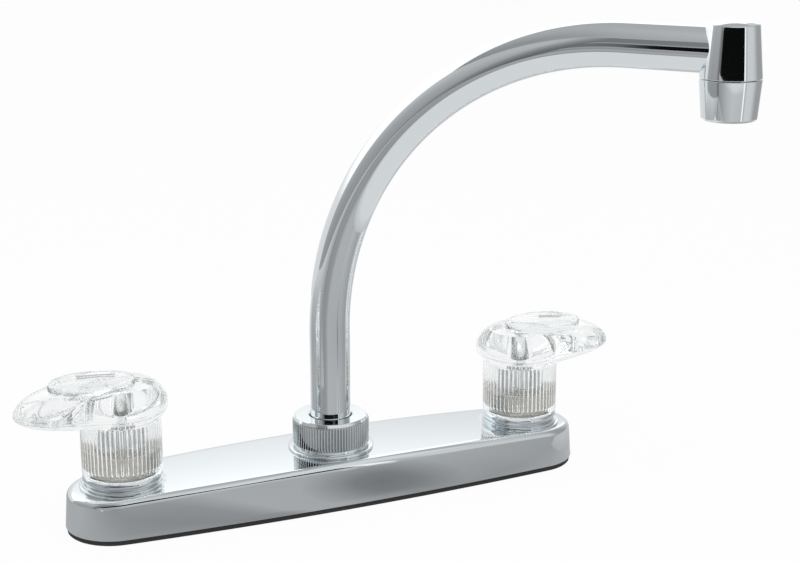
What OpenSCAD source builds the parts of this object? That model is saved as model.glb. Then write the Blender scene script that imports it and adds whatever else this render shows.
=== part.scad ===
// Two handle kitchen faucet with a crowned deck plate, a knurled spout nut and a high arc spout.
// The origin is on the sink deck, under the middle of the gasket. X runs along the plate towards
// the cold handle, Y runs to the back and Z runs up.

/* [Deck plate] */
// Distance between the two handle axes, and between the holes in the sink deck
handle_centres = 203.2; // [200:0.1:206]
// Distance from each handle axis to the plate's end
plate_past = 26.7; // [25:0.1:30]
// Width of the plate across its middle
plate_w = 53.6; // [52:0.1:58]
// Radius of the plate's round ends in plan
plate_end_r = 22.7; // [22:0.1:24]
// Height of the plate's top at the handle axes, above the gasket
plate_h = 18.4; // [17:0.1:22]
// Rise of the plate's top from the handle axes to the middle
plate_crown = 2; // [1:0.1:2.5]
// How far the sides lean in from the bottom edge to the top edge's rounding
plate_draft = 1; // [0.5:0.1:1.5]
// Radius of the plate's top edge
plate_fillet = 3.3; // [2:0.1:4]
// Thickness of the pressed plate
plate_wall = 1.2; // [0.8:0.1:1.5]
// How far the raised seat round each handle reaches past the base ring's foot
seat_past = 1.3; // [0.8:0.1:2]
// Height of the raised seat over the plate's top at the handle axis
seat_rise = 0.5; // [0.3:0.1:0.8]

/* [Gasket] */
// Thickness of the gasket
gasket_t = 2.4; // [1.5:0.1:3]
// How far the gasket's edge lies inside the plate's edge
gasket_inset = 0.7; // [0.3:0.1:1]

/* [Waterway body] */
// Radius of each inlet shank, over its half inch straight pipe thread
shank_r = 10.48; // [10.2:0.01:10.6]
// Length of each shank below the sink deck
shank_l = 48; // [44:0.5:60]
// Radius of the supply bore in each shank
shank_bore_r = 7.5; // [6.5:0.1:8]
// Depth of the relief groove that parts the clamping thread from the supply thread
relief_depth = 0.6; // [0.4:0.1:1]
// Radius of the base of each valve body, which carries the plate
valve_base_r = 14; // [13.6:0.1:15]
// Radius of the threaded barrel that stands through the plate
barrel_r = 12.7; // [12.4:0.1:13]
// Height of the barrel's top above the seat of the base ring
barrel_rise = 11.7; // [10:0.1:13]
// Radius of the chamber that takes the cartridge
chamber_r = 9.45; // [9.2:0.05:9.8]
// Height of the chamber's floor above the sink deck
chamber_floor = 6; // [5:0.1:6.5]
// Height of the cross tubes' axis above the sink deck
cross_z = 9.5; // [9.3:0.1:10]
// Radius of the cross tubes
cross_r = 6.5; // [6:0.1:6.6]
// Radius of the waterway in the cross tubes
cross_bore_r = 4.5; // [3.5:0.1:4.6]
// Radius of the centre hub, over its thread
hub_r = 15.8; // [15.4:0.1:16.2]
// Height of the hub's top above the plate's middle
hub_rise = 11.2; // [10:0.1:12]

/* [Shank hardware] */
// Gap left below the gasket for the sink deck
deck_gap = 10; // [4:0.5:14]
// Outer radius of the shank washers
washer_r = 19; // [17:0.5:22]
// Thickness of the shank washers
washer_t = 2; // [1:0.1:3]
// Radius of the lock nut's body
lock_nut_r = 15.5; // [14.5:0.1:17]
// Height of the lock nuts
lock_nut_h = 13; // [10:0.5:15]
// Radius that the lock nut's wings reach
wing_reach = 27; // [23:0.5:32]
// Thickness of the wings
wing_t = 4; // [3:0.1:6]

/* [Valve seat] */
// Radius of the rubber seat
seal_r = 5.5; // [5:0.1:5.8]
// Distance of the rubber seat from the valve's axis, towards the back
seat_shift = 3.7; // [3.4:0.1:3.8]
// Radius of the hole through the rubber seat
seal_bore_r = 2.5; // [2:0.1:2.8]
// Height of the rubber seat
seal_h = 4.7; // [4:0.1:5]
// How far the rubber seat stands above the chamber's floor
seal_proud = 1.7; // [1.4:0.1:2]
// Radius of the seat spring's coil, at the middle of the wire
spring_r = 4.4; // [4.2:0.1:4.6]
// Thickness of the spring's wire
spring_wire = 0.9; // [0.7:0.1:1]
// Length of the seat spring as fitted
spring_l = 6.6; // [6:0.1:8]
// Number of turns in the seat spring
spring_turns = 4; // [3:1:5]

/* [Cartridge] */
// Thickness of the cartridge's flange on top of the barrel
flange_t = 2; // [1.5:0.1:2.5]
// Radius of the cartridge's flange
flange_r = 11.5; // [11:0.1:11.9]
// Radius of the cartridge's neck, which stands through the bonnet nut
neck_r = 7; // [6.6:0.1:7.5]
// Radius of the drum that turns inside the cartridge
drum_r = 7.4; // [7:0.1:7.8]
// Height of the drum
drum_h = 14; // [12:0.1:15]
// Wall of the bonnet nut round the barrel
bonnet_wall = 1.5; // [1.3:0.1:1.7]
// Thickness of the bonnet nut's top
bonnet_web = 2.8; // [2.6:0.1:4]
// Radius of the stem in the cartridge's neck
stem_r = 5; // [4.7:0.1:5.3]
// Outer radius of the stem's splines
spline_r = 4.2; // [4:0.1:4.4]
// Depth of the stem's splines
spline_depth = 0.5; // [0.3:0.1:0.6]
// Number of splines on the stem
splines = 16; // [12:1:20]
// Length of the splined end above the cartridge's neck
spline_l = 14.2; // [13:0.1:15]
// Thickness of the rubber in the stem's O-ring
stem_ring_t = 1.4; // [1:0.1:1.6]

/* [Base ring] */
// Height of the chrome ring under each handle
ring_h = 5.7; // [5:0.1:6]
// Wall of the ring's neck round the barrel
ring_wall = 4.1; // [3.6:0.1:4.4]
// How far the ring's foot stands out past its neck
ring_foot_past = 1.6; // [1.2:0.1:2]
// Height of the ring's foot
ring_foot_h = 1.2; // [1:0.1:1.6]
// How far the ring's round bead stands out past its neck
ring_bead_past = 1.2; // [0.9:0.1:1.6]

/* [Handle] */
// Wall of the handle's skirt, outside the mean radius of the flutes
skirt_wall = 2.5; // [2.2:0.05:2.8]
// Length of the skirt below the lever
skirt_l = 25; // [24.6:0.1:26.5]
// Gap between the bonnet nut and the crests of the flutes round it
cavity_gap = 1; // [0.8:0.1:1.3]
// Depth of the flutes in the skirt
flute_depth = 0.7; // [0.4:0.1:0.8]
// Number of flutes in the skirt
flutes = 48; // [36:1:60]
// Height of the plain band below the flutes
plain_band = 2.5; // [2:0.1:4]
// Depth of the fluted cavity, from the skirt's lower rim
cavity_depth = 24.2; // [23.5:0.1:26]
// Reach of the lever's tip from the handle's axis
lever_reach = 47.5; // [44:0.1:52]
// Height of the lever, from its underside to the seat of the index cap
lever_h = 16; // [15:0.1:17.5]
// Radius of the lever's nose in plan
nose_r = 12; // [10:0.1:13]
// Widest radius of the rounded hub over the skirt
hub_bulge_r = 21.6; // [20:0.1:22.5]
// Height over the lever's underside at which the hub starts to bulge
hub_flare_h = 2; // [1.5:0.1:3]
// Radius of the boss that takes the stem
boss_r = 6.5; // [6:0.1:7]
// Radius of the screw's counterbore
counterbore_r = 4.6; // [4.2:0.1:5]
// Radius of the handle screw's head
screw_head_r = 3.6; // [3.2:0.1:4]
// Radius of the handle screw's thread
screw_r = 1.75; // [1.5:0.05:2]
// Length of the handle screw under its head
screw_l = 12; // [10:0.5:14]

/* [Index cap] */
// Length of the oval index cap
cap_l = 39; // [36:0.1:42]
// Width of the oval index cap
cap_w = 28; // [26:0.1:30]
// Thickness of the index cap's rim
cap_t = 3; // [2.4:0.1:3.6]
// Distance from the handle's axis to the cap's middle, towards the lever's tip
cap_shift = 12.3; // [11:0.1:13]
// How far the cap's plug goes down into the handle
plug_depth = 3; // [2:0.1:3.4]
// Depth of the dish in the cap's top
dish_depth = 0.8; // [0.4:0.1:1.2]

/* [Spout nut] */
// Radius of the flange ring below the nut
flange_ring_r = 20.3; // [19.5:0.1:21.5]
// Thickness of the flange ring
flange_ring_t = 1.3; // [1:0.1:1.6]
// Radius over the nut's knurl
nut_r = 18.1; // [17.8:0.1:18.6]
// Height of the spout nut
nut_h = 14.8; // [14.4:0.1:15.5]
// Radius of the nut's flat top
nut_top_r = 16.8; // [16.4:0.1:17.2]
// Height of the plain band below the knurl
nut_foot_h = 1.4; // [1:0.1:2]
// Height of the chamfer over the knurl
nut_chamfer_h = 2.3; // [1.8:0.1:2.6]
// Depth of the knurl
knurl_depth = 0.45; // [0.3:0.05:0.6]
// Number of ridges in the knurl
knurls = 80; // [72:1:96]
// Thickness of the nut's top
nut_web = 2.4; // [2:0.1:2.6]

/* [Spout] */
// Outer radius of the spout tube, three quarter inch tube
tube_r = 9.525; // [9:0.005:9.6]
// Wall of the spout tube
tube_wall = 1; // [0.8:0.05:1.5]
// Height above the sink deck at which the tube starts to bend
bend_z = 80.1; // [60:0.1:110]
// Radius of the bend, from upright to level
bend_r = 141; // [120:0.5:160]
// Length of the level end of the tube, up to the head's axis
tube_end_l = 45; // [30:0.1:60]
// Direction in which the spout points at rest, from X towards Y, in degrees
spout_turn = -52; // [-120:1:-30]
// Radius of the brass sleeve on the tube's lower end
sleeve_r = 13; // [12.6:0.1:13.2]
// Length of the brass sleeve
sleeve_l = 17.7; // [16:0.1:18]
// Thickness of the rubber in the spout's O-rings
spout_ring_t = 2.6; // [2.2:0.1:2.8]

/* [Head and aerator] */
// Radius of the head at its rounded top edge
head_top_r = 10.7; // [10.4:0.1:11.2]
// Radius of the head at the seam
head_seam_r = 12.6; // [12.2:0.1:13]
// Height of the head, from the seam to its top edge
head_h = 21.3; // [20:0.1:22.5]
// Rise of the domed top over its edge
dome_rise = 1.9; // [1.2:0.1:2.5]
// Length of the threaded spigot below the seam
spigot_l = 7.5; // [6:0.1:9]
// Radius of the threaded spigot
spigot_r = 9.9; // [9.6:0.1:10.2]
// Radius of the waterway in the head
head_bore_r = 7; // [6:0.1:7.2]
// Height of the aerator's shell
aerator_h = 17; // [16:0.1:19]
// Radius of the aerator's shell at its lower rim
aerator_low_r = 11.2; // [10.6:0.1:11.6]
// Radius of the opening at the aerator's lower rim
outlet_r = 8.6; // [8:0.1:9]
// Height of the flow insert
insert_h = 6.6; // [5:0.1:7]

/* [Fits] */
// Radial clearance of each part that turns in a bore
run_gap = 0.05; // [0.02:0.01:0.1]
// Radial clearance between threads and between pressed parts
thread_gap = 0.1; // [0.05:0.01:0.15]
// Gap between parts that move past each other
part_gap = 0.3; // [0.25:0.01:0.4]

/* [Hidden] */
$fn = 72;
// overrun of the cuts past the faces that they open, and of solids into what they grow from
cut = 1;
handle_x = handle_centres / 2;

// plan of the plate: round ends joined by two long bowed sides, tangent to them
half_w = plate_w / 2;
end_x = handle_x + plate_past - plate_end_r;
bow_r = (end_x * end_x + half_w * half_w - plate_end_r * plate_end_r) / (2 * (half_w - plate_end_r));
bow_a = atan2(bow_r - half_w, end_x);
end_steps = 10;
bow_steps = 6;
edge_steps = 5;
inner_fillet_share = 0.6;

// radii of what goes round each barrel, from the barrel outwards
bonnet_r = barrel_r + thread_gap + bonnet_wall;
ring_neck_r = barrel_r + thread_gap + ring_wall;
ring_foot_r = ring_neck_r + ring_foot_past;
ring_bead_r = ring_neck_r + ring_bead_past;
cavity_r = bonnet_r + cavity_gap + flute_depth / 2;
skirt_r = cavity_r + skirt_wall;
seat_r = ring_foot_r + seat_past;

// heights of the plate, and of what is clamped on it
plate_z = gasket_t + plate_h;
plate_mid_z = plate_z + plate_crown;
seat_z = plate_z + seat_rise;
ring_top_z = seat_z + ring_h;
barrel_z = seat_z + barrel_rise;
hub_z = plate_mid_z + hub_rise;
nut_z = plate_mid_z + flange_ring_t;
nut_top_z = nut_z + nut_h;

// heights in the valves
seat_ledge = 2;
cartridge_z = chamber_floor + seal_proud;
seal_z = cartridge_z - seal_h;
spring_z = seal_z - spring_l;
spring_seat_r = spring_r - spring_wire;
drum_floor_share = 0.28;
drum_z = cartridge_z + part_gap;
drum_top_z = drum_z + drum_h;
drum_floor_z = drum_z + drum_h * drum_floor_share;
drum_port_r_share = 0.28;
case_port_w_share = 0.9;
neck_z = barrel_z + flange_t;
bonnet_z = ring_top_z + part_gap;
bonnet_top_z = neck_z + bonnet_web;
neck_top_z = bonnet_top_z + 2 * part_gap;
stem_shoulder_z = neck_top_z + part_gap;
spline_top_z = stem_shoulder_z + spline_l;
stem_ring_z = neck_z + bonnet_web / 2;

// heights below the sink deck, with the relief groove below the lock nut
lock_nut_z = -deck_gap - washer_t - lock_nut_h;
relief_w = 1.5;
relief_z = lock_nut_z - 3 * relief_w;
wing_h_share = 0.75;

// heights in the handles
skirt_z = ring_top_z + part_gap;
lever_z = skirt_z + skirt_l;
cap_z = lever_z + lever_h;
cavity_z = skirt_z + cavity_depth;
boss_z = stem_shoulder_z + 2 * part_gap;
socket_top_z = spline_top_z + thread_gap;
screw_web = 2.6;
screw_head_h = 2.6;
screw_seat_z = socket_top_z + screw_web;
slot_w = 1;
slot_depth = 1.2;
plug_inset = 2;
cap_round = 0.8;
cap_round_steps = 3;
cap_steps = 24;
dimple_r = 1.5;
dimple_top = 1.5;
dimple_reach_share = 0.62;

// side form of the lever: heights of its widest outlines, and how far its arches run to their crown
nose_mid_share = 0.375;
hub_mid_share = 0.44;
nose_base_share = 0.42;
nose_arch_share = 0.85;
hub_arch_share = 0.7;
nose_thin_share = 0.8;
hub_lip = 0.3;
lever_rings = 14;
nose_steps = 8;
hub_steps = 16;

// heights in the spout nut and the hub
nut_hole_gap = 0.6;
knurl_relief = 0.1;
thrust_top_z = nut_top_z - nut_web;
sleeve_top_z = hub_z - part_gap;
sleeve_z = sleeve_top_z - sleeve_l;
o_ring_shares = [0.28, 0.72];

// spout path: upright, a quarter turn, then level to the head's axis
reach_s = bend_r + tube_end_l;
outlet_z = bend_z + bend_r;
tube_stop = 2;

// heights in the head: the tube lies just under the head's top edge
head_edge = 1.2;
head_top_z = outlet_z + tube_r + head_edge;
seam_z = head_top_z - head_h;
dome_r = (head_top_r * head_top_r + dome_rise * dome_rise) / (2 * dome_rise);
head_slope = (head_seam_r - head_top_r) / head_h;
spigot_z = seam_z - spigot_l;
shell_top_z = seam_z - part_gap;
aerator_z = seam_z - aerator_h;
shell_bore_r = spigot_r + thread_gap;
lip_h = 1.6;
insert_z = aerator_z + lip_h;
insert_top_z = insert_z + insert_h;
insert_holes = 8;
insert_hole_r = 1.1;
insert_ring_share = 0.62;

function reversed(p) = [for (i = [len(p) - 1:-1:0]) p[i]];

// height of an arch that is 0 at its foot and 1 at its crown, at a share of its width
function arch(share) = sqrt(max(0, 1 - share * share));

// one quarter of the plate's plan, inset by d, from the end's tip to the middle of a side
function plan_quarter(d) = concat(
    [for (i = [0:end_steps]) let (t = bow_a * i / end_steps)
        [end_x + (plate_end_r - d) * cos(t), (plate_end_r - d) * sin(t)]],
    [for (i = [1:bow_steps]) let (t = bow_a + (90 - bow_a) * i / bow_steps)
        [(bow_r - d) * cos(t), half_w - bow_r + (bow_r - d) * sin(t)]]
);

// closed outline from its upper half, which starts and ends on the X axis
function mirrored(p) = concat(p, [for (i = [len(p) - 2:-1:1]) [p[i][0], -p[i][1]]]);

function plan(d) = let (q = plan_quarter(d), n = len(q))
    mirrored(concat(q, [for (i = [n - 2:-1:0]) [-q[i][0], q[i][1]]]));

// rise of the plate's top over its height at the handle axes
function crown(x) = plate_crown * (1 - pow(x / handle_x, 2));

// outline lifted to one height
function level(p, z) = [for (v = p) [v[0], v[1], z]];

// closed skin over rings of points that mirror across the X axis, from the lowest to the highest
module skin(rings) {
    n = len(rings[0]);
    m = len(rings);
    points = [for (ring = rings) each ring];
    walls = [for (j = [0:m - 2]) for (i = [0:n - 1]) let (k = (i + 1) % n)
        each [[j * n + i, (j + 1) * n + i, (j + 1) * n + k], [j * n + i, (j + 1) * n + k, j * n + k]]];
    base = concat(
        [[0, 1, n - 1], [n / 2 + 1, n / 2 - 1, n / 2]],
        [for (i = [1:n / 2 - 2]) each [[n - i, i, i + 1], [n - i, i + 1, n - i - 1]]]
    );
    lid = [for (face = base) [for (p = reversed(face)) p + (m - 1) * n]];
    polyhedron(points = points, faces = concat(walls, base, lid));
}

// body of the plate's form, inset by d, with a rounded top edge
module plate_form(d, low_z, fillet) {
    edge = [for (j = [0:edge_steps]) let (t = 90 * j / edge_steps)
        [for (p = plan(d + plate_draft + fillet * (1 - cos(t))))
            [p[0], p[1], plate_z - d + crown(p[0]) - fillet * (1 - sin(t))]]];
    skin(concat([level(plan(d), low_z)], edge));
}

// places a piece on the axis of the hot handle, at the left
module hot_side() {
    translate([-handle_x, 0, 0]) children();
}

// places a piece on the axis of the cold handle, turned to face the other way
module cold_side() {
    translate([handle_x, 0, 0]) rotate([0, 0, 180]) children();
}

// places a piece on the axis of a rubber seat: side is -1 for hot and 1 for cold
module seat_side(side) {
    translate([side * handle_x, seat_shift, 0]) children();
}

// places a piece in the spout's plane, where X runs outwards
module spout_side() {
    rotate([0, 0, spout_turn]) children();
}

module disc(r, low_z, high_z) {
    translate([0, 0, low_z]) cylinder(r = r, h = high_z - low_z);
}

// ring of rectangular section
module band(r_in, r_out, low_z, high_z) {
    difference() {
        disc(r_out, low_z, high_z);
        disc(r_in, low_z - cut, high_z + cut);
    }
}

module o_ring(mid_r, t, z) {
    translate([0, 0, z]) rotate_extrude() translate([mid_r, 0]) circle(d = t);
}

// rod with a star section of n points
module star_rod(n, r_out, r_in, low_z, high_z) {
    translate([0, 0, low_z]) linear_extrude(high_z - low_z)
        polygon([for (i = [0:2 * n - 1]) let (r = i % 2 == 0 ? r_out : r_in)
            [r * cos(180 * i / n), r * sin(180 * i / n)]]);
}

module deck_plate() {
    color("silver") difference() {
        union() {
            difference() {
                plate_form(0, gasket_t, plate_fillet);
                plate_form(plate_wall, gasket_t - cut, plate_fillet * inner_fillet_share);
            }
            for (side = [-1, 1]) translate([side * handle_x, 0, 0])
                disc(seat_r, plate_z - plate_wall, seat_z);
        }
        for (side = [-1, 1]) translate([side * handle_x, 0, 0]) {
            disc(barrel_r + part_gap, gasket_t, seat_z + cut);
            disc(seat_r, seat_z, seat_z + plate_crown);
        }
        disc(hub_r + part_gap, gasket_t, plate_mid_z + cut);
    }
}

module deck_gasket() {
    color("black") difference() {
        linear_extrude(gasket_t) polygon(plan(gasket_inset));
        for (side = [-1, 1]) translate([side * handle_x, 0, 0])
            disc(shank_r + part_gap, -cut, gasket_t + cut);
    }
}

module valve_body() {
    disc(shank_r, -shank_l, gasket_t + cut);
    disc(valve_base_r, gasket_t, plate_z - plate_wall - part_gap);
    disc(barrel_r, gasket_t + cut, barrel_z);
}

module valve_waterway() {
    disc(chamber_r, chamber_floor, barrel_z + cut);
    translate([0, seat_shift, 0]) {
        disc(seal_r + thread_gap, spring_z, chamber_floor + cut);
        disc(spring_seat_r, spring_z - seat_ledge - cut, spring_z + cut);
    }
    disc(shank_bore_r, -shank_l - cut, spring_z - seat_ledge);
    band(shank_r - relief_depth, shank_r + cut, relief_z, relief_z + relief_w);
}

// tube along the plate, from one valve to the other
module cross_tube(r) {
    translate([-handle_x, 0, cross_z]) rotate([0, 90, 0]) cylinder(r = r, h = handle_centres);
}

module waterway_body() {
    color("goldenrod") difference() {
        union() {
            for (side = [-1, 1]) translate([side * handle_x, 0, 0]) valve_body();
            disc(hub_r, gasket_t, hub_z);
            cross_tube(cross_r);
        }
        for (side = [-1, 1]) translate([side * handle_x, 0, 0]) valve_waterway();
        cross_tube(cross_bore_r);
        disc(sleeve_r + run_gap, sleeve_z - part_gap, hub_z + cut);
        disc(tube_r, cross_z - cross_bore_r, sleeve_z);
    }
}

module shank_washer() {
    color("gainsboro") band(shank_r + part_gap, washer_r, -deck_gap - washer_t, -deck_gap);
}

// nut with two wings, turned by hand
module lock_nut() {
    wing_h = lock_nut_h * wing_h_share;
    color("white") difference() {
        union() {
            disc(lock_nut_r, lock_nut_z, lock_nut_z + lock_nut_h);
            translate([wing_t - wing_reach, -wing_t / 2, lock_nut_z])
                cube([2 * (wing_reach - wing_t), wing_t, wing_h]);
            for (side = [-1, 1]) translate([side * (wing_reach - wing_t), 0, 0])
                disc(wing_t, lock_nut_z, lock_nut_z + wing_h);
        }
        disc(shank_r + thread_gap, lock_nut_z - cut, lock_nut_z + lock_nut_h + cut);
    }
}

module valve_seat() {
    color("black") band(seal_bore_r, seal_r, seal_z, cartridge_z);
}

// coil spring: a wire of six sides along a helix, its ends on the ledge and under the rubber seat
module seat_spring() {
    sides = 6;
    turn_steps = 14;
    steps = turn_steps * spring_turns;
    wire_r = spring_wire / 2;
    rise = spring_l - spring_wire;
    points = [for (j = [0:steps]) for (i = [0:sides - 1])
        let (t = 360 * j / turn_steps, a = 360 * (i + 0.5) / sides, r = spring_r + wire_r * cos(a))
            [r * cos(t), r * sin(t), spring_z + wire_r * (1 + sin(a)) + rise * j / steps]];
    walls = [for (j = [0:steps - 1]) for (i = [0:sides - 1])
        let (k = (i + 1) % sides, p = j * sides, q = p + sides)
            each [[p + i, q + i, q + k], [p + i, q + k, p + k]]];
    start = [[for (i = [0:sides - 1]) i]];
    end = [[for (i = [sides - 1:-1:0]) steps * sides + i]];
    color("lightgray") polyhedron(points = points, faces = concat(walls, start, end));
}

// housing that drops into the valve chamber: a drum case with a side port, a flange and a neck
module cartridge() {
    port_w = 2 * cross_bore_r * case_port_w_share;
    color("dimgray") difference() {
        union() {
            disc(chamber_r - run_gap, cartridge_z, barrel_z);
            disc(flange_r, barrel_z, neck_z);
            disc(neck_r, neck_z - cut, neck_top_z);
        }
        disc(drum_r + run_gap, cartridge_z - cut, drum_top_z + part_gap);
        disc(stem_r + run_gap, drum_top_z, neck_top_z + cut);
        translate([0, -port_w / 2, cross_z]) cube([chamber_r, port_w, cross_bore_r]);
    }
}

module bonnet_nut() {
    color("tan") difference() {
        disc(bonnet_r, bonnet_z, bonnet_top_z);
        disc(barrel_r + thread_gap, bonnet_z - cut, barrel_z + cut);
        disc(flange_r + thread_gap, barrel_z, neck_z);
        disc(neck_r + thread_gap, neck_z - cut, bonnet_top_z + cut);
    }
}

// threaded ring that clamps the plate: a foot, a neck and a round bead under the handle
module base_ring() {
    bore_r = barrel_r + thread_gap;
    bead = (ring_h - ring_foot_h) / 2;
    color("silver") translate([0, 0, seat_z]) rotate_extrude() {
        translate([bore_r, 0]) square([ring_foot_r - bore_r, ring_foot_h]);
        translate([bore_r, 0]) square([ring_neck_r - bore_r, ring_h]);
        translate([ring_bead_r - bead, ring_h - bead]) circle(r = bead);
    }
}

// drum with a port that turns over the rubber seat's hole, a round stem and a splined end
module stem() {
    color("whitesmoke") difference() {
        union() {
            disc(drum_r, drum_z, drum_top_z);
            disc(stem_r, drum_top_z - cut, stem_shoulder_z);
            star_rod(splines, spline_r, spline_r - spline_depth, stem_shoulder_z - cut, spline_top_z);
        }
        translate([seat_shift, 0, 0])
            disc(drum_r * drum_port_r_share, drum_z - cut, drum_floor_z + cut);
        translate([0, -drum_r - cut, drum_floor_z])
            cube([drum_r + cut, 2 * (drum_r + cut), drum_top_z - drum_floor_z - cut]);
        o_ring(stem_r - stem_ring_t / 2, stem_ring_t, stem_ring_z);
        band(
            stem_r - stem_ring_t / 2, stem_r + cut,
            stem_ring_z - stem_ring_t / 2, stem_ring_z + stem_ring_t / 2
        );
        disc(screw_r + thread_gap, screw_seat_z - screw_l - thread_gap, spline_top_z + cut);
    }
}

module stem_o_ring() {
    color("black") o_ring(stem_r - stem_ring_t / 2, stem_ring_t, stem_ring_z);
}

// plan of the lever at height h over its underside: the nose's circle and the hub's circle,
// joined by their tangents, as a closed outline that starts at the lever's tip
function lever_plan(h) =
    let (
        nose_mid = nose_mid_share * lever_h,
        hub_mid = hub_mid_share * lever_h,
        nose = arch(h < nose_mid ? 1 - h / nose_mid
            : nose_arch_share * (h - nose_mid) / (lever_h - nose_mid)),
        hub = arch(h < hub_mid ? min(1, (hub_mid - h) / (hub_mid - hub_flare_h))
            : hub_arch_share * (h - hub_mid) / (lever_h - hub_mid)),
        reach = lever_reach * (nose_base_share + (1 - nose_base_share) * nose),
        tip_r = nose_r * (nose_thin_share + (1 - nose_thin_share) * nose),
        foot_r = h < hub_mid ? skirt_r + hub_lip : 0,
        hub_r_here = foot_r + (hub_bulge_r - foot_r) * hub,
        d = reach - tip_r,
        a = acos((hub_r_here - tip_r) / d)
    )
    mirrored(concat(
        [for (i = [0:nose_steps]) let (t = 180 + a * i / nose_steps) [tip_r * cos(t) - d, tip_r * sin(t)]],
        [for (i = [0:hub_steps]) let (t = 180 + a + (180 - a) * i / hub_steps)
            [hub_r_here * cos(t), hub_r_here * sin(t)]]
    ));

// half of an oval outline with semi-axes a and b, from its tip over the lever
function oval(a, b) = mirrored([for (i = [0:cap_steps]) let (t = 180 + 180 * i / cap_steps)
    [a * cos(t) - cap_shift, b * sin(t)]]);

module lever() {
    skin([for (j = [0:lever_rings]) let (h = lever_h * (1 - cos(180 * j / lever_rings)) / 2)
        level(lever_plan(h), lever_z + h)]);
}

// clear handle: a fluted skirt, a solid lever over it, and a boss inside for the stem
module handle() {
    color([0.9, 0.93, 0.95, 0.5]) difference() {
        union() {
            difference() {
                union() {
                    disc(skirt_r, skirt_z, lever_z + cut);
                    lever();
                }
                star_rod(
                    flutes, cavity_r + flute_depth / 2, cavity_r - flute_depth / 2,
                    skirt_z + plain_band, cavity_z
                );
                disc(cavity_r - flute_depth / 2, skirt_z - cut, skirt_z + plain_band + cut);
            }
            disc(boss_r, boss_z, cavity_z + cut);
        }
        star_rod(
            splines, spline_r + thread_gap, spline_r - spline_depth + thread_gap,
            boss_z - cut, socket_top_z
        );
        disc(screw_r + part_gap, socket_top_z - cut, screw_seat_z + cut);
        disc(counterbore_r, screw_seat_z, cap_z + cut);
        translate([0, 0, cap_z - plug_depth - part_gap]) linear_extrude(plug_depth + part_gap + cut)
            polygon(oval(cap_l / 2 - plug_inset + thread_gap, cap_w / 2 - plug_inset + thread_gap));
        translate([-lever_reach * dimple_reach_share, 0, 0])
            disc(dimple_r, lever_z - cut, lever_z + dimple_top);
    }
}

module handle_screw() {
    color("silver") difference() {
        union() {
            disc(screw_r, screw_seat_z - screw_l, screw_seat_z + cut);
            disc(screw_head_r, screw_seat_z, screw_seat_z + screw_head_h);
        }
        for (turn = [0, 90]) rotate([0, 0, turn])
            translate([-screw_head_r / 2, -slot_w / 2, screw_seat_z + screw_head_h - slot_depth])
                cube([screw_head_r, slot_w, slot_depth + cut]);
    }
}

// oval cap with a rounded rim, a dished top and a plug that snaps into the handle
module index_cap() {
    a = cap_l / 2;
    b = cap_w / 2;
    rim = cap_t - cap_round;
    rounding = [for (j = [0:cap_round_steps])
        let (t = 90 * j / cap_round_steps, d = cap_round * (1 - cos(t)))
            level(oval(a - d, b - d), cap_z + rim + cap_round * sin(t))];
    plug_a = a - plug_inset;
    plug_b = b - plug_inset;
    color([0.95, 0.95, 0.95, 0.7]) difference() {
        skin(concat(
            [level(oval(plug_a, plug_b), cap_z - plug_depth), level(oval(plug_a, plug_b), cap_z)],
            [level(oval(a, b), cap_z)],
            rounding
        ));
        skin([
            level(oval(plug_a, plug_b), cap_z + cap_t - dish_depth),
            level(oval(a - cap_round - dish_depth, b - cap_round - dish_depth), cap_z + cap_t + dish_depth)
        ]);
    }
}

module spout_nut() {
    knurl_z = nut_z + nut_foot_h;
    chamfer_z = nut_top_z - nut_chamfer_h;
    root_r = nut_r - knurl_depth;
    plain_r = root_r - knurl_relief;
    color("silver") difference() {
        union() {
            disc(plain_r, nut_z, chamfer_z);
            star_rod(knurls, nut_r, root_r, knurl_z, chamfer_z);
            translate([0, 0, chamfer_z]) cylinder(r1 = plain_r, r2 = nut_top_r, h = nut_chamfer_h);
        }
        disc(hub_r + thread_gap, nut_z - cut, thrust_top_z);
        disc(tube_r + nut_hole_gap, thrust_top_z - cut, nut_top_z + cut);
    }
}

module spout_flange_ring() {
    color("silver") band(hub_r + thread_gap, flange_ring_r, plate_mid_z, nut_z);
}

module spout_thrust_ring() {
    color("ivory") band(tube_r + run_gap, hub_r, hub_z, thrust_top_z);
}

// bent tube: upright, a quarter turn and a level end inside the head
module spout_tube() {
    inner_r = tube_r - tube_wall;
    color("silver") spout_side() {
        band(inner_r, tube_r, sleeve_z, bend_z);
        translate([bend_r, 0, bend_z]) rotate([90, 0, 0]) rotate([0, 0, 90])
            rotate_extrude(angle = 90) translate([bend_r, 0]) difference() {
                circle(r = tube_r);
                circle(r = inner_r);
            }
        translate([bend_r, 0, outlet_z]) rotate([0, 90, 0])
            band(inner_r, tube_r, 0, tube_end_l - tube_stop);
    }
}

module spout_sleeve() {
    mid_r = sleeve_r - spout_ring_t / 2;
    color("gold") difference() {
        band(tube_r + thread_gap, sleeve_r, sleeve_z, sleeve_top_z);
        for (share = o_ring_shares)
            band(mid_r, sleeve_r + cut, ring_z(share) - spout_ring_t / 2, ring_z(share) + spout_ring_t / 2);
        for (share = o_ring_shares) o_ring(mid_r, spout_ring_t, ring_z(share));
    }
}

function ring_z(share) = sleeve_z + sleeve_l * share;

module spout_o_rings() {
    color("black") for (share = o_ring_shares)
        o_ring(sleeve_r - spout_ring_t / 2, spout_ring_t, ring_z(share));
}

// places a piece on the head's upright axis
module head_side() {
    spout_side() translate([reach_s, 0, 0]) children();
}

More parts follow.
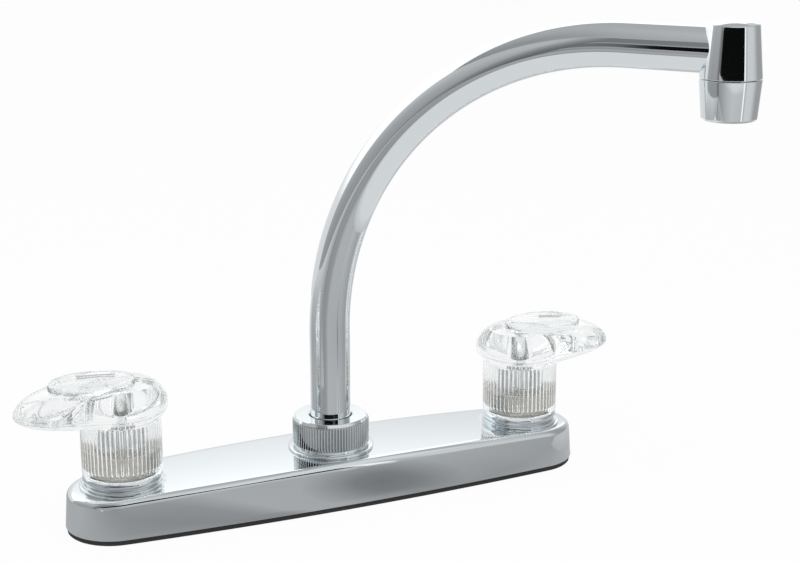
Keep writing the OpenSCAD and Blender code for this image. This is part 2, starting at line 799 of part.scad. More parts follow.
// tapered head with a domed top, a side socket for the tube and a threaded spigot
module spout_head() {
    full_h = head_h + dome_rise;
    color("silver") head_side() difference() {
        union() {
            intersection() {
                translate([0, 0, seam_z])
                    cylinder(r1 = head_seam_r, r2 = head_seam_r - head_slope * full_h, h = full_h);
                translate([0, 0, head_top_z + dome_rise - dome_r]) sphere(r = dome_r);
            }
            disc(spigot_r, spigot_z, seam_z + cut);
        }
        disc(head_bore_r, spigot_z - cut, outlet_z);
        translate([-head_seam_r - cut, 0, outlet_z]) rotate([0, 90, 0])
            cylinder(r = tube_r + thread_gap, h = head_seam_r + cut - tube_stop + part_gap);
    }
}

// tapered shell with an inner lip that holds the flow insert
module aerator_shell() {
    color("silver") head_side() difference() {
        translate([0, 0, aerator_z])
            cylinder(r1 = aerator_low_r, r2 = head_seam_r, h = shell_top_z - aerator_z);
        disc(outlet_r, aerator_z - cut, insert_z + cut);
        disc(shell_bore_r, insert_z, shell_top_z + cut);
    }
}

module aerator_insert() {
    insert_r = shell_bore_r - thread_gap;
    color("lightgray") head_side() difference() {
        disc(insert_r, insert_z, insert_top_z);
        for (i = [0:insert_holes - 1]) rotate([0, 0, 360 * i / insert_holes])
            translate([insert_r * insert_ring_share, 0, 0])
                disc(insert_hole_r, insert_z - cut, insert_top_z + cut);
    }
}

module aerator_washer() {
    color("black") head_side() band(head_bore_r, spigot_r, insert_top_z, spigot_z);
}

deck_plate();
deck_gasket();
waterway_body();
hot_side() shank_washer();  // hot_shank_washer
cold_side() shank_washer();  // cold_shank_washer
hot_side() lock_nut();  // hot_lock_nut
cold_side() lock_nut();  // cold_lock_nut
seat_side(-1) valve_seat();  // hot_valve_seat
seat_side(1) valve_seat();  // cold_valve_seat
seat_side(-1) seat_spring();  // hot_seat_spring
seat_side(1) seat_spring();  // cold_seat_spring
hot_side() cartridge();  // hot_cartridge
cold_side() cartridge();  // cold_cartridge
hot_side() bonnet_nut();  // hot_bonnet_nut
cold_side() bonnet_nut();  // cold_bonnet_nut
hot_side() base_ring();  // hot_base_ring
cold_side() base_ring();  // cold_base_ring
hot_side() stem();  // hot_stem
cold_side() stem();  // cold_stem
hot_side() stem_o_ring();  // hot_stem_o_ring
cold_side() stem_o_ring();  // cold_stem_o_ring
hot_side() handle();  // hot_handle
cold_side() handle();  // cold_handle
hot_side() handle_screw();  // hot_handle_screw
cold_side() handle_screw();  // cold_handle_screw
hot_side() index_cap();  // hot_index_cap
cold_side() index_cap();  // cold_index_cap
spout_nut();
spout_flange_ring();
spout_thrust_ring();
spout_tube();
spout_sleeve();
spout_o_rings();
spout_head();
aerator_shell();
aerator_insert();
aerator_washer();
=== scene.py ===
import math

import bmesh
import bpy
from mathutils import Matrix, Vector


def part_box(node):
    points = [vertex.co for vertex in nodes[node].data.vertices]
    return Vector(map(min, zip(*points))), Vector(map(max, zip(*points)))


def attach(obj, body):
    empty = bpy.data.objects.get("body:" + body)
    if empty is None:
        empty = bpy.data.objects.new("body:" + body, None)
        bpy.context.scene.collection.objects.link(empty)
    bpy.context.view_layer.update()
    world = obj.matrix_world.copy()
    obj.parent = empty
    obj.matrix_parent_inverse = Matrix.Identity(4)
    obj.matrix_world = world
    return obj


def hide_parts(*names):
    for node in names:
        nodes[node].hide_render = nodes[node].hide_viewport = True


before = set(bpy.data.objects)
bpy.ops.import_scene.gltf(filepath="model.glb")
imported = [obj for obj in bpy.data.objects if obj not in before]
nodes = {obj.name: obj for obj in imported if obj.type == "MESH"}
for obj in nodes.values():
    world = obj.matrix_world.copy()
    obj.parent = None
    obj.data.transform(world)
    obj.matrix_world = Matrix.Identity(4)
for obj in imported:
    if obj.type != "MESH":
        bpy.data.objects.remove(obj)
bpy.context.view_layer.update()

mm = 0.001


# Measures that several pieces share, read from the frame, in mm.

def lowOf(node):
    return [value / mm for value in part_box(node)[0]]


def highOf(node):
    return [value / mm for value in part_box(node)[1]]


def radiusOf(node):
    return (highOf(node)[0] - lowOf(node)[0]) / 2


handleX = (lowOf("cold_base_ring")[0] + highOf("cold_base_ring")[0]) / 2
gasketTop = highOf("deck_gasket")[2]
seatZ = lowOf("cold_base_ring")[2]
ringTop = highOf("cold_base_ring")[2]
skirtZ = lowOf("cold_handle")[2]
capSeat = highOf("cold_handle")[2]
nutZ = lowOf("spout_nut")[2]
nutTop = highOf("spout_nut")[2]
print("frame read, handle axes at", round(handleX, 2), "mm")


# Meshes: rings of points joined into skins, with sharp edges kept sharp.

meshing = {"weld": 0.0005, "sharp": 32, "lathe": 128, "drill": 96, "arc": 5}  # mm, degrees, then steps


def linkPiece(name, bm):
    mesh = bpy.data.meshes.new(name)
    bm.to_mesh(mesh)
    bm.free()
    piece = bpy.data.objects.new(name, mesh)
    bpy.context.scene.collection.objects.link(piece)
    return piece


def shadeSmooth(bm, sharpAngle):
    for face in bm.faces:
        face.smooth = True
    for edge in bm.edges:
        edge.smooth = not (len(edge.link_faces) == 2 and edge.calc_face_angle(0) > math.radians(sharpAngle))


def finishMesh(name, bm, sharpAngle=meshing["sharp"]):
    bmesh.ops.remove_doubles(bm, verts=bm.verts, dist=meshing["weld"] * mm)
    bmesh.ops.recalc_face_normals(bm, faces=bm.faces)
    shadeSmooth(bm, sharpAngle)
    return linkPiece(name, bm)


def skin(rings, closed=False, firstCap=None, lastCap=None):
    # rings of equal length are joined in turn; a cap is "fan", "ladder" or nothing
    bm = bmesh.new()
    count = len(rings[0])
    rows = [[bm.verts.new([c * mm for c in point]) for point in ring] for ring in rings]
    last = len(rows) if closed else len(rows) - 1
    for j in range(last):
        low, high = rows[j], rows[(j + 1) % len(rows)]
        for i in range(count):
            k = (i + 1) % count
            bm.faces.new((low[i], low[k], high[k], high[i]))
    for row, cap in ((rows[0], firstCap), (rows[-1], lastCap)):
        if cap == "fan":
            middle = sum((v.co for v in row), Vector()) / count
            hub = bm.verts.new(middle)
            for i in range(count):
                bm.faces.new((row[i], row[(i + 1) % count], hub))
        if cap == "ladder":  # row starts on the mirror line at X, and its halves mirror each other
            half = count // 2
            bm.faces.new((row[0], row[1], row[count - 1]))
            bm.faces.new((row[half], row[half + 1], row[half - 1]))
            for i in range(1, half - 1):
                bm.faces.new((row[i], row[i + 1], row[count - i - 1], row[count - i]))
    return bm


def circleRing(radius, z, steps, middle=(0, 0)):
    return [(middle[0] + radius * math.cos(math.tau * i / steps),
             middle[1] + radius * math.sin(math.tau * i / steps), z) for i in range(steps)]


def quarterRound(steps):
    # how far a rounded edge has gone inwards and how far it lies below its top, as shares of its radius
    angles = [math.pi / 2 * j / steps for j in range(steps + 1)]
    return [(1 - math.cos(angle), 1 - math.sin(angle)) for angle in angles]


def rounded(corners, arcSteps):
    # outline of (radius, height, fillet) corners, with each fillet as an arc
    outline = []
    count = len(corners)
    for i, (r, z, fillet) in enumerate(corners):
        here = Vector((r, z))
        if not fillet:
            outline.append((r, z))
            continue
        toward = (Vector(corners[i - 1][:2]) - here).normalized()
        away = (Vector(corners[(i + 1) % count][:2]) - here).normalized()
        halfAngle = toward.angle(away) / 2
        reach = fillet / math.tan(halfAngle)
        centre = here + (toward + away).normalized() * (fillet / math.sin(halfAngle))
        start, end = here + toward * reach - centre, here + away * reach - centre
        sweep = start.angle_signed(end)
        for step in range(arcSteps + 1):
            turn = -sweep * step / arcSteps
            outline.append((centre.x + start.x * math.cos(turn) - start.y * math.sin(turn),
                            centre.y + start.x * math.sin(turn) + start.y * math.cos(turn)))
    return outline


def lathe(name, corners, middle=(0, 0), closed=True, sharpAngle=meshing["sharp"], arcSteps=meshing["arc"]):
    # a turned piece: a closed outline goes round a bore, and an open one starts and ends on the axis
    outline = rounded(corners, arcSteps)
    if not closed:
        outline = outline[1:-1]
    rings = [circleRing(r, z, meshing["lathe"], middle) for r, z in outline]
    ends = None if closed else "fan"
    return finishMesh(name, skin(rings, closed, ends, ends), sharpAngle)


def carve(target, cutter, operation="DIFFERENCE", sharpAngle=meshing["sharp"]):
    modifier = target.modifiers.new("carve", "BOOLEAN")
    modifier.operation = operation
    modifier.solver = "EXACT"
    modifier.object = cutter
    bpy.context.view_layer.update()
    made = bpy.data.meshes.new_from_object(target.evaluated_get(bpy.context.evaluated_depsgraph_get()))
    target.modifiers.clear()
    target.data = made
    bpy.data.objects.remove(cutter)
    bm = bmesh.new()
    bm.from_mesh(made)
    shadeSmooth(bm, sharpAngle)
    bm.to_mesh(made)
    bm.free()


def drill(radius, low, high, middle=(0, 0), steps=meshing["drill"]):
    rings = [circleRing(radius, z, steps, middle) for z in (low, high)]
    return finishMesh("drill", skin(rings, firstCap="fan", lastCap="fan"))


# Shader maths as plain expressions.

class Signal:
    def __init__(self, bench, socket):
        self.bench = bench
        self.socket = socket

    def __add__(self, other):
        return self.bench.maths("ADD", self, other)

    def __sub__(self, other):
        return self.bench.maths("SUBTRACT", self, other)

    def __mul__(self, other):
        return self.bench.maths("MULTIPLY", self, other)

    def __rsub__(self, other):
        return self.bench.maths("SUBTRACT", other, self)

    __radd__ = __add__
    __rmul__ = __mul__


class Bench:
    def __init__(self, tree):
        self.tree = tree
        tree.nodes.clear()

    def add(self, kind, settings=None, sockets=None, output=0):
        node = self.tree.nodes.new(kind)
        for key, value in (settings or {}).items():
            if key == "stops":
                ramp = node.color_ramp
                while len(ramp.elements) < len(value):
                    ramp.elements.new(1)
                while len(ramp.elements) > len(value):
                    ramp.elements.remove(ramp.elements[-1])
                for stop, (place, level) in zip(ramp.elements, value):
                    stop.position = place
                    stop.color = (level, level, level, 1)
            else:
                setattr(node, key, value)
        for key, value in (sockets or {}).items():
            if isinstance(value, Signal):
                self.tree.links.new(value.socket, node.inputs[key])
            else:
                node.inputs[key].default_value = value
        return Signal(self, node.outputs[output])

    def maths(self, operation, *values):
        return self.add("ShaderNodeMath", {"operation": operation}, dict(enumerate(values)))

    def length(self, x, y):
        return self.maths("SQRT", x * x + y * y)

    def mix(self, share, first, second):
        colours = {0: share, 6: (*first, 1), 7: (*second, 1)}
        return self.add("ShaderNodeMix", {"data_type": "RGBA"}, colours, 2)

    def place(self):
        return self.add("ShaderNodeTexCoord", None, None, "Object")

    def sides(self):
        # the place's X and Y
        spot = self.place()
        return [self.add("ShaderNodeSeparateXYZ", None, {0: spot}, axis) for axis in range(2)]

    def noise(self, scale, detail=2.0, rough=0.5):
        sockets = {"Vector": self.place(), "Scale": scale, "Detail": detail, "Roughness": rough}
        return self.add("ShaderNodeTexNoise", None, sockets, "Fac")

    def ramp(self, value, stops, whole=1):
        # stops are (place, level), and the whole is the place at which the value is 1
        stops = [(place / whole, level) for place, level in stops]
        return self.add("ShaderNodeValToRGB", {"stops": stops}, {"Fac": value})

    def bump(self, height, depth, strength=1.0):
        sockets = {"Height": height, "Strength": strength, "Distance": depth * mm}
        return self.add("ShaderNodeBump", None, sockets)

    def glow(self, strength):
        return self.add("ShaderNodeEmission", None, {"Color": (1, 1, 1, 1), "Strength": strength})

    def surface(self, sockets):
        self.output(self.add("ShaderNodeBsdfPrincipled", None, sockets))

    def output(self, surface, kind="ShaderNodeOutputMaterial"):
        node = self.tree.nodes.new(kind)
        self.tree.links.new(surface.socket, node.inputs["Surface"])


def newMaterial(name):
    made = bpy.data.materials.new(name)
    made.use_nodes = True
    return made, Bench(made.node_tree)


# Noise scales are repeats to the metre, tones are linear, and depths and lengths are in mm.

chrome = {
    "tone": (0.78, 0.825, 0.85), "filmScale": 9.0, "filmTone": 0.965, "hairlineScale": 900.0,
    "rough": 0.028, "filmRough": 0.03, "hairlineRough": 0.012,
}


def polishedChrome(name, swellDepth=0.0, swellLength=0.0):
    made, bench = newMaterial(name)
    film = bench.noise(chrome["filmScale"], detail=3.0)  # faint film of handling, in patches of centimetres
    hairline = bench.noise(chrome["hairlineScale"])
    rough = chrome["rough"] + film * chrome["filmRough"] + hairline * chrome["hairlineRough"]
    colour = bench.mix(film, chrome["tone"], [c * chrome["filmTone"] for c in chrome["tone"]])
    sockets = {"Base Color": colour, "Metallic": 1.0, "Roughness": rough}
    if swellDepth:  # slow waves that pressing and buffing leave in sheet metal
        swell = bench.noise(1 / (swellLength * mm), detail=1.0, rough=0.3)
        sockets["Normal"] = bench.bump(swell, swellDepth)
    bench.surface(sockets)
    return made


knurl = {
    "root": 17.4, "crest": 18.1, "tone": (0.80, 0.84, 0.86), "shade": (0.42, 0.46, 0.48),
    "filmScale": 300.0, "rough": 0.05, "filmRough": 0.06,
    "paintedGrooveShade": [(0.2, 1), (0.32, 0), (0.45, 0.1), (0.95, 1)],  # from root to crest: painted shade darkest near the roots of the grooves, full tone below the grooves and on the crests
}


def knurledChrome(name):
    # painted shade darkens the grooves of the knurl towards their roots, and its crests keep the full tone
    made, bench = newMaterial(name)
    depth = knurl["crest"] - knurl["root"]
    height = (bench.length(*bench.sides()) - knurl["root"] * mm) * (1 / (depth * mm))
    # painted shade in the grooves, by distance from the nut's axis
    paintedGrooveShade = bench.ramp(height, knurl["paintedGrooveShade"])
    film = bench.noise(knurl["filmScale"], detail=3.0)
    bench.surface({"Base Color": bench.mix(paintedGrooveShade, knurl["shade"], knurl["tone"]), "Metallic": 1.0,
                   "Roughness": knurl["rough"] + film * knurl["filmRough"]})
    return made


acrylic = {
    "tone": (0.93, 0.945, 0.95), "ior": 1.49, "rough": 0.002, "hazeScale": 60.0, "hazeTone": 0.99,
    "hazeRough": 0.004, "flowScale": 45.0, "flowDepth": 0.012,
}


def clearAcrylic(name):
    made, bench = newMaterial(name)
    haze = bench.noise(acrylic["hazeScale"], detail=3.0)
    flow = bench.noise(acrylic["flowScale"], detail=1.0)
    colour = bench.mix(haze, acrylic["tone"], [c * acrylic["hazeTone"] for c in acrylic["tone"]])
    bench.surface({"Base Color": colour, "Transmission Weight": 1.0, "IOR": acrylic["ior"],
                   "Roughness": acrylic["rough"] + haze * acrylic["hazeRough"],
                   "Normal": bench.bump(flow, acrylic["flowDepth"])})
    return made


# Moulded, cast, drawn or rubber surfaces: tone, darker tone, metallic, least and most roughness,
# grain to the metre and depth of the grain.
grained = {
    "blackRubber": ((0.016, 0.016, 0.017), (0.03, 0.03, 0.032), 0, 0.55, 0.75, 500.0, 0.03),
    "castBrass": ((0.72, 0.52, 0.26), (0.55, 0.38, 0.18), 1, 0.28, 0.5, 260.0, 0.08),
    "turnedBrass": ((0.80, 0.60, 0.30), (0.66, 0.48, 0.22), 1, 0.18, 0.3, 500.0, 0.01),
    "whiteNylon": ((0.82, 0.82, 0.80), (0.74, 0.74, 0.71), 0, 0.35, 0.5, 220.0, 0.02),
    "greyNylon": ((0.90, 0.905, 0.91), (0.84, 0.85, 0.86), 0, 0.4, 0.55, 240.0, 0.02),
    "dullNickel": ((0.56, 0.54, 0.48), (0.48, 0.455, 0.40), 0.9, 0.25, 0.38, 300.0, 0.01),
    "zincSteel": ((0.60, 0.61, 0.63), (0.50, 0.51, 0.53), 1, 0.25, 0.42, 180.0, 0.01),
    "brightSteel": ((0.97, 0.97, 0.96), (0.92, 0.92, 0.91), 1, 0.12, 0.2, 500.0, 0.005),
    "drawnSteel": ((0.66, 0.66, 0.67), (0.55, 0.55, 0.56), 1, 0.2, 0.3, 700.0, 0.01),
}


def grainedFinish(name, tone, darker, metallic, leastRough, mostRough, grain, depth):
    # roughness follows the grain, and tone the grain and patches twelve times as wide
    made, bench = newMaterial(name)
    grains = bench.noise(grain, detail=4.0, rough=0.6)
    patches = bench.noise(grain / 12)
    bench.surface({"Base Color": bench.mix(grains * 0.5 + patches * 0.5, tone, darker), "Metallic": metallic,
                   "Roughness": leastRough + grains * (mostRough - leastRough),
                   "Normal": bench.bump(grains, depth, strength=0.6)})
    return made


print("materials")
finishes = {
    "plateChrome": polishedChrome("plateChrome", swellDepth=0.10, swellLength=55.0),
    "tubeChrome": polishedChrome("tubeChrome", swellDepth=0.02, swellLength=50.0),
    "turnedChrome": polishedChrome("turnedChrome"),
    "knurledChrome": knurledChrome("knurledChrome"),
    "clearAcrylic": clearAcrylic("clearAcrylic"),
}
for name, values in grained.items():
    finishes[name] = grainedFinish(name, *values)


def dress(piece, finish, body, node):
    piece.data.materials.clear()
    piece.data.materials.append(finishes[finish])
    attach(piece, body)
    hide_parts(node)


# Deck plate: a pressed cover with bowed sides, round ends and a crowned top.

plate = {
    "endRadius": 22.7, "draft": 1.0, "fillet": 3.3, "crown": 2.0, "wall": 1.2, "lip": 0.35, "lipBend": 0.3,
    "seatRadius": 19.8, "seatFillet": 0.35, "padDepth": 1.6, "seatCut": 3.0, "barrelHole": 13.0,
    "barrelCut": 5.0, "hubHole": 16.1, "spine": 0.3,  # half the strip that the last faces fill
    "endSteps": 28, "bowSteps": 64, "wallSteps": 6, "filletSteps": 12, "topSteps": 12,
}
plate["halfWidth"] = highOf("deck_plate")[1]
plate["endX"] = highOf("deck_plate")[0] - plate["endRadius"]
plate["topZ"] = highOf("deck_plate")[2] - plate["crown"]  # at the handle axes
bowRadius = (plate["endX"] ** 2 + plate["halfWidth"] ** 2 - plate["endRadius"] ** 2) / (
    2 * (plate["halfWidth"] - plate["endRadius"]))
bowAngle = math.atan2(bowRadius - plate["halfWidth"], plate["endX"])


def planPoints(inset):
    # outline from the tip of the +X end, half way round to the -X tip, then back along the mirror image
    upper = []
    endSteps, bowSteps = plate["endSteps"], plate["bowSteps"]
    endReach, bowReach = plate["endRadius"] - inset, bowRadius - inset
    for i in range(endSteps):
        turn = bowAngle * i / endSteps
        upper.append((plate["endX"] + endReach * math.cos(turn), endReach * math.sin(turn)))
    for i in range(bowSteps + 1):
        turn = bowAngle + (math.pi - 2 * bowAngle) * i / bowSteps
        upper.append((bowReach * math.cos(turn), plate["halfWidth"] - bowRadius + bowReach * math.sin(turn)))
    for i in range(1, endSteps + 1):
        turn = math.pi - bowAngle + bowAngle * i / endSteps
        upper.append((-plate["endX"] + endReach * math.cos(turn), endReach * math.sin(turn)))
    return upper + [(x, -y) for x, y in reversed(upper[1:-1])]


def crownAt(x):
    return plate["crown"] * (1 - (x / handleX) ** 2)


def plateRing(inset, z, crowned=True):
    return [(x, y, z + (crownAt(x) if crowned else 0)) for x, y in planPoints(inset)]


def plateWalls(shell, fillet):
    # rings up one wall and over its top edge to the middle, shell being how deep the skin lies in the plate
    top = plate["topZ"] - shell
    start = shell + plate["draft"]
    rings = []
    for j in range(1, plate["wallSteps"]):
        share = j / plate["wallSteps"]
        rings.append([(x, y, gasketTop + (top + crownAt(x) - fillet - gasketTop) * share)
                      for x, y in planPoints(shell + plate["draft"] * share)])
    for inwards, below in quarterRound(plate["filletSteps"]):
        rings.append(plateRing(start + fillet * inwards, top - fillet * below))
    first, last = start + fillet, plate["endRadius"] - plate["spine"]
    for j in range(1, plate["topSteps"] + 1):
        rings.append(plateRing(first + (last - first) * j / plate["topSteps"], top))
    return rings


def makePlate():
    lip, wall, seat = plate["lip"], plate["wall"], plate["seatRadius"]
    bend = lip * plate["lipBend"]
    outer = plateWalls(0, plate["fillet"])
    inner = plateWalls(wall, plate["fillet"] - wall)
    hem = [plateRing(wall, gasketTop, False), plateRing(lip, gasketTop, False),
           plateRing(bend, gasketTop + bend, False), plateRing(0, gasketTop + lip, False)]
    rings = list(reversed(inner)) + hem + outer
    shell = finishMesh("deckPlate", skin(rings, firstCap="ladder", lastCap="ladder"))
    padZ = plate["topZ"] - plate["padDepth"]
    for side in (-1, 1):
        middle = (side * handleX, 0)
        corners = [(0, padZ, 0), (seat, padZ, 0), (seat, seatZ, plate["seatFillet"]), (0, seatZ, 0)]
        carve(shell, lathe("pad", corners, middle, closed=False), "UNION")
        carve(shell, drill(seat, seatZ, seatZ + plate["seatCut"], middle))
        carve(shell, drill(plate["barrelHole"], gasketTop, seatZ + plate["barrelCut"], middle))
    carve(shell, drill(plate["hubHole"], gasketTop, nutTop))
    dress(shell, "plateChrome", "base", "deck_plate")


print("deck plate")
makePlate()

gasket = {"inset": 0.7, "edge": 0.25, "bulge": 0.12, "shankHole": 10.78, "holeCut": 1.0}


def makeGasket():
    edge, inset, cut = gasket["edge"], gasket["inset"], gasket["holeCut"]
    rings = [plateRing(inset + edge, 0, False), plateRing(inset, edge, False),
             plateRing(inset - gasket["bulge"], gasketTop / 2, False),
             plateRing(inset, gasketTop - edge, False), plateRing(inset + edge, gasketTop, False)]
    pad = finishMesh("deckGasket", skin(rings, firstCap="ladder", lastCap="ladder"))
    for side in (-1, 1):
        carve(pad, drill(gasket["shankHole"], -cut, gasketTop + cut, (side * handleX, 0)))
    dress(pad, "blackRubber", "base", "deck_gasket")


print("gasket")
makeGasket()


# Chrome ring under each handle: a foot, a waist and a round bead.

baseRing = {
    "bore": 12.8, "foot": 18.5, "footHeight": 1.2, "footEdge": 0.15, "footFillet": 0.48, "waist": 16.9,
    "bead": 18.1, "beadStart": -60.0, "beadSteps": 24, "arcSteps": 8,
}


def makeBaseRing(side, x):
    foot, bore = baseRing["foot"], baseRing["bore"]
    footTop = seatZ + baseRing["footHeight"]
    beadRadius = (ringTop - footTop) / 2
    corners = [(bore, seatZ, 0), (foot, seatZ, baseRing["footEdge"]), (foot, footTop, baseRing["footFillet"]),
               (baseRing["waist"], footTop, 0)]
    for j in range(baseRing["beadSteps"] + 1):
        turn = math.radians(baseRing["beadStart"] + (90 - baseRing["beadStart"]) * j / baseRing["beadSteps"])
        corners.append((baseRing["bead"] - beadRadius * (1 - math.cos(turn)),
                        ringTop - beadRadius * (1 - math.sin(turn)), 0))
    corners.append((bore, ringTop, 0))
    ring = lathe(side + "BaseRing", corners, (x, 0), arcSteps=baseRing["arcSteps"])
    dress(ring, "turnedChrome", "base", side + "_base_ring")


print("base rings")
for side, x in (("hot", -handleX), ("cold", handleX)):
    makeBaseRing(side, x)


# Clear handle: one skin that runs up the skirt and lever, down through the cap's recess,
# the screw hole and the splined socket, and back along the fluted cavity.

handle = {
    "skirtRadius": 18.15, "skirtLength": 25.0, "skirtGap": 0.25,
    "rimEdge": 0.5, "rimBend": 0.3, "mouthEdge": 0.3,
    "reach": 47.5, "noseRadius": 12.0, "noseMid": 0.375, "noseBase": 0.42, "noseArch": 0.85, "noseThin": 0.8,
    "hubRadius": 21.6, "hubMid": 0.44, "hubArch": 0.7, "hubLip": 0.3, "flareHeight": 2.0,
    "lowInset": 0.02, "topInset": 0.05, "recessEdge": 0.3, "counterbore": 4.6, "counterboreEdge": 0.2,
    "screwLength": 12.0, "screwHole": 2.05, "screwWeb": 2.6,
    "splines": 16, "splineRadius": 4.3, "splineDepth": 0.5, "splineEdge": 0.2, "socketDepth": 13.7,
    "bossRadius": 6.5, "bossEdge": 0.3, "bossFillet": 0.8, "bossBend": 0.25,
    "flutes": 48, "cavityRadius": 15.65, "cavityDepth": 24.2, "cavityEdge": 0.5, "fluteDepth": 0.7,
    "plainBand": 2.5, "fluteEnd": [(0.5, 1), (0.1, 0.3), (-0.2, 0)],  # height over the band, share of depth
    "dimple": 1.9, "dimpleTop": 4.2, "dimpleShare": 0.62, "dimpleCut": 1.0, "dimpleSteps": 32,
    "around": 384, "crowding": 0.45, "skirtRings": 8, "leverRings": 56, "sharpAngle": 40,
}
cap = {
    "length": 39.0, "width": 28.0, "shift": 12.3, "thickness": 3.0, "edge": 0.9, "dish": 0.8, "rim": 2.2,
    "plugInset": 2.0, "plugDepth": 3.0, "plugEdge": 0.4, "footEdge": 0.25, "gap": 0.1, "floorGap": 0.3,
    "spine": 0.3, "around": 160, "edgeSteps": 6, "dishSteps": 10, "sharpAngle": 40,
}
leverZ = skirtZ + handle["skirtLength"]
leverHeight = capSeat - leverZ


def arch(share):
    return math.sqrt(max(0.0, 1 - share * share))


def leverReachAt(height, turn):
    # distance from the axis to the lever's outline, turn being the angle from the tip
    h = handle
    noseMid, hubMid = h["noseMid"] * leverHeight, h["hubMid"] * leverHeight
    nose = arch(1 - height / noseMid if height < noseMid
                else h["noseArch"] * (height - noseMid) / (leverHeight - noseMid))
    hub = arch(min(1, (hubMid - height) / (hubMid - h["flareHeight"])) if height < hubMid
               else h["hubArch"] * (height - hubMid) / (leverHeight - hubMid))
    reach = h["reach"] * (h["noseBase"] + (1 - h["noseBase"]) * nose)
    tip = h["noseRadius"] * (h["noseThin"] + (1 - h["noseThin"]) * nose)
    foot = h["skirtRadius"] + h["hubLip"] if height < hubMid else 0
    hubHere = foot + (h["hubRadius"] - foot) * hub
    middle = reach - tip
    tangent = math.acos((hubHere - tip) / middle)
    turn = abs(turn)
    if turn >= tangent:
        return hubHere
    if turn > math.atan2(tip * math.sin(tangent), middle + tip * math.cos(tangent)):
        return hubHere / math.cos(turn - tangent)
    return middle * math.cos(turn) + math.sqrt(tip ** 2 - (middle * math.sin(turn)) ** 2)


def turns(count, crowding=0.0):
    # angles from the tip, crowded towards it by the given share
    return [a - crowding * math.sin(a) for a in (math.tau * i / count for i in range(count))]


def ovalReach(a, b, turn):
    # distance from the handle's axis to the cap's oval, whose middle is shifted towards the tip
    c, s, m = math.cos(turn), math.sin(turn), cap["shift"]
    qa = (c / a) ** 2 + (s / b) ** 2
    qb = -2 * m * c / a ** 2
    qc = (m / a) ** 2 - 1
    return (-qb + math.sqrt(qb * qb - 4 * qa * qc)) / (2 * qa)


def splineAt(turn):
    depth = handle["splineDepth"]
    return handle["splineRadius"] - depth / 2 + depth / 2 * math.cos(turn * handle["splines"])


def fluteAt(turn):
    return handle["cavityRadius"] + handle["fluteDepth"] / 2 * math.cos(turn * handle["flutes"])


def makeHandle(side, x, facing):
    h = handle
    even, crowded = turns(h["around"]), turns(h["around"], h["crowding"])
    rings = []

    def add(reachAt, z, angles=even):
        rings.append([(x + facing * reachAt(a) * math.cos(a), facing * reachAt(a) * math.sin(a), z)
                      for a in angles])

    def circle(radius, z, angles=even):
        add(lambda a: radius, z, angles)

    # up the skirt and round the lever
    skirt, edge = h["skirtRadius"], h["rimEdge"]
    circle(skirt - edge, skirtZ)
    circle(skirt - edge * h["rimBend"], skirtZ + edge * h["rimBend"])
    circle(skirt, skirtZ + edge)
    for j in range(1, h["skirtRings"] + 1):
        share = j / h["skirtRings"]
        mixed = [e + (c - e) * share for e, c in zip(even, crowded)]
        circle(skirt, skirtZ + edge + (leverZ - h["skirtGap"] - skirtZ - edge) * share, mixed)
    for j in range(h["leverRings"] + 1):
        height = leverHeight * (1 - math.cos(math.pi * j / h["leverRings"])) / 2
        height = min(max(height, h["lowInset"]), leverHeight - h["topInset"])
        add(lambda a: leverReachAt(height, (a + math.pi) % math.tau - math.pi), leverZ + height, crowded)

    # down the cap's recess and the screw hole
    a = cap["length"] / 2 - cap["plugInset"] + cap["gap"]
    b = cap["width"] / 2 - cap["plugInset"] + cap["gap"]
    floor = capSeat - cap["plugDepth"] - cap["floorGap"]
    screwSeat = lowOf(side + "_handle_screw")[2] + h["screwLength"]
    socketTop = screwSeat - h["screwWeb"]
    edge = h["recessEdge"]
    for spread, z in ((edge, capSeat), (0, capSeat - edge), (0, floor + edge), (-edge, floor)):
        add(lambda t: ovalReach(a + spread, b + spread, t), z, crowded)
    circle(h["counterbore"] + h["counterboreEdge"], floor)
    circle(h["counterbore"], floor - h["counterboreEdge"])
    circle(h["counterbore"], screwSeat)
    circle(h["screwHole"], screwSeat)
    circle(h["screwHole"], socketTop)

    # down the splined socket and back up round its boss
    bossZ = socketTop - h["socketDepth"]
    cavityTop = skirtZ + h["cavityDepth"]
    add(splineAt, socketTop)
    add(splineAt, bossZ + h["splineEdge"])
    add(lambda t: splineAt(t) + h["splineEdge"], bossZ)
    circle(h["bossRadius"] - h["bossEdge"], bossZ)
    circle(h["bossRadius"], bossZ + h["bossEdge"])
    circle(h["bossRadius"], cavityTop - h["bossFillet"])
    circle(h["bossRadius"] + h["bossBend"], cavityTop - h["bossBend"])
    circle(h["bossRadius"] + h["bossFillet"], cavityTop)

    # down the fluted cavity to the plain band at its mouth
    plain = h["cavityRadius"] - h["fluteDepth"] / 2
    add(lambda t: fluteAt(t) - h["cavityEdge"], cavityTop)
    add(fluteAt, cavityTop - h["cavityEdge"])
    for rise, share in h["fluteEnd"]:
        add(lambda t: plain + (fluteAt(t) - plain) * share, skirtZ + h["plainBand"] + rise)
    circle(plain, skirtZ + h["mouthEdge"])
    circle(plain + h["mouthEdge"], skirtZ)

    body = finishMesh(side + "Handle", skin(rings, closed=True), h["sharpAngle"])
    spot = (x + facing * h["reach"] * h["dimpleShare"], 0)
    dimple = drill(h["dimple"], leverZ - h["dimpleCut"], leverZ + h["dimpleTop"], spot, h["dimpleSteps"])
    carve(body, dimple, sharpAngle=h["sharpAngle"])
    dress(body, "clearAcrylic", side + "_lever", side + "_handle")


